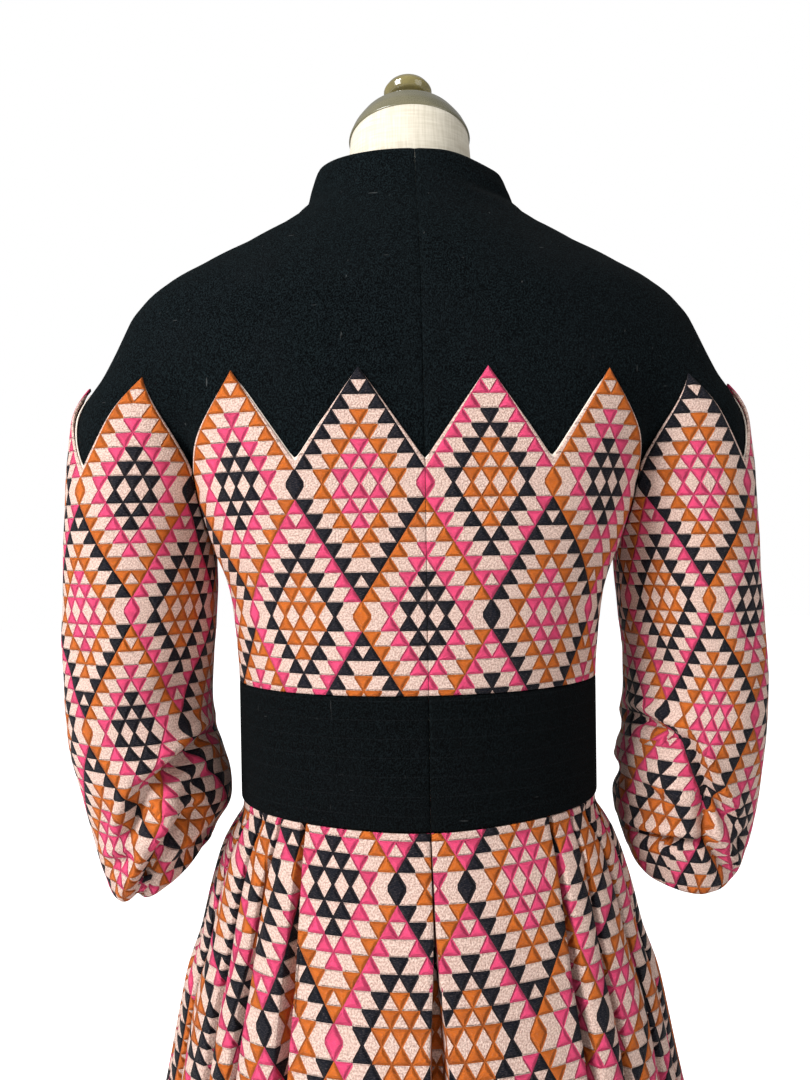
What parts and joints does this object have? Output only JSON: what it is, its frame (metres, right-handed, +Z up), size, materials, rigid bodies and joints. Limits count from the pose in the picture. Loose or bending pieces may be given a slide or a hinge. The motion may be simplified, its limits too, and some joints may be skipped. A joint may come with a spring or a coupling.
{
  "type": "wool coat on dress form",
  "caption": "Fit-and-flare wool coat with a black yoke and funnel collar, zigzag-edged patterned bodice, balloon sleeves and pleated skirt, standing on a limbless dress form.",
  "frame": {"origin": "on the floor, under the middle of the coat's hem and on the pole's axis", "axes": "+Z up, the coat's front faces -Y, +X to the wearer's left"},
  "size_m": [0.588, 0.5355, 1.542],
  "materials": {
    "black_wool": "matt wool crepe",
    "patterned_cloth": "puffed woven pattern in ecru, pink, rust and navy",
    "form_linen": "plain woven linen",
    "cap_lacquer": "glossy olive",
    "knob_lacquer": "glossy amber",
    "stand_metal": "satin steel"
  },
  "bodies": {
    "root": {"yoke_back_left": "black_wool", "yoke_back_right": "black_wool", "yoke_front_left": "black_wool", "yoke_front_right": "black_wool", "waistband_back_left": "black_wool", "waistband_back_right": "black_wool", "waistband_front_left": "black_wool", "waistband_front_right": "black_wool", "bodice_back_left": "patterned_cloth", "bodice_back_right": "patterned_cloth", "bodice_front_left": "patterned_cloth", "bodice_front_right": "patterned_cloth", "sleeve_left": "patterned_cloth", "sleeve_right": "patterned_cloth", "skirt_back": "patterned_cloth", "skirt_front_left": "patterned_cloth", "skirt_front_right": "patterned_cloth", "dress_form_body": "form_linen", "neck_cap": "cap_lacquer", "neck_knob": "knob_lacquer", "stand_pole": "stand_metal", "stand_base": "stand_metal"}
  },
  "joints": []
}
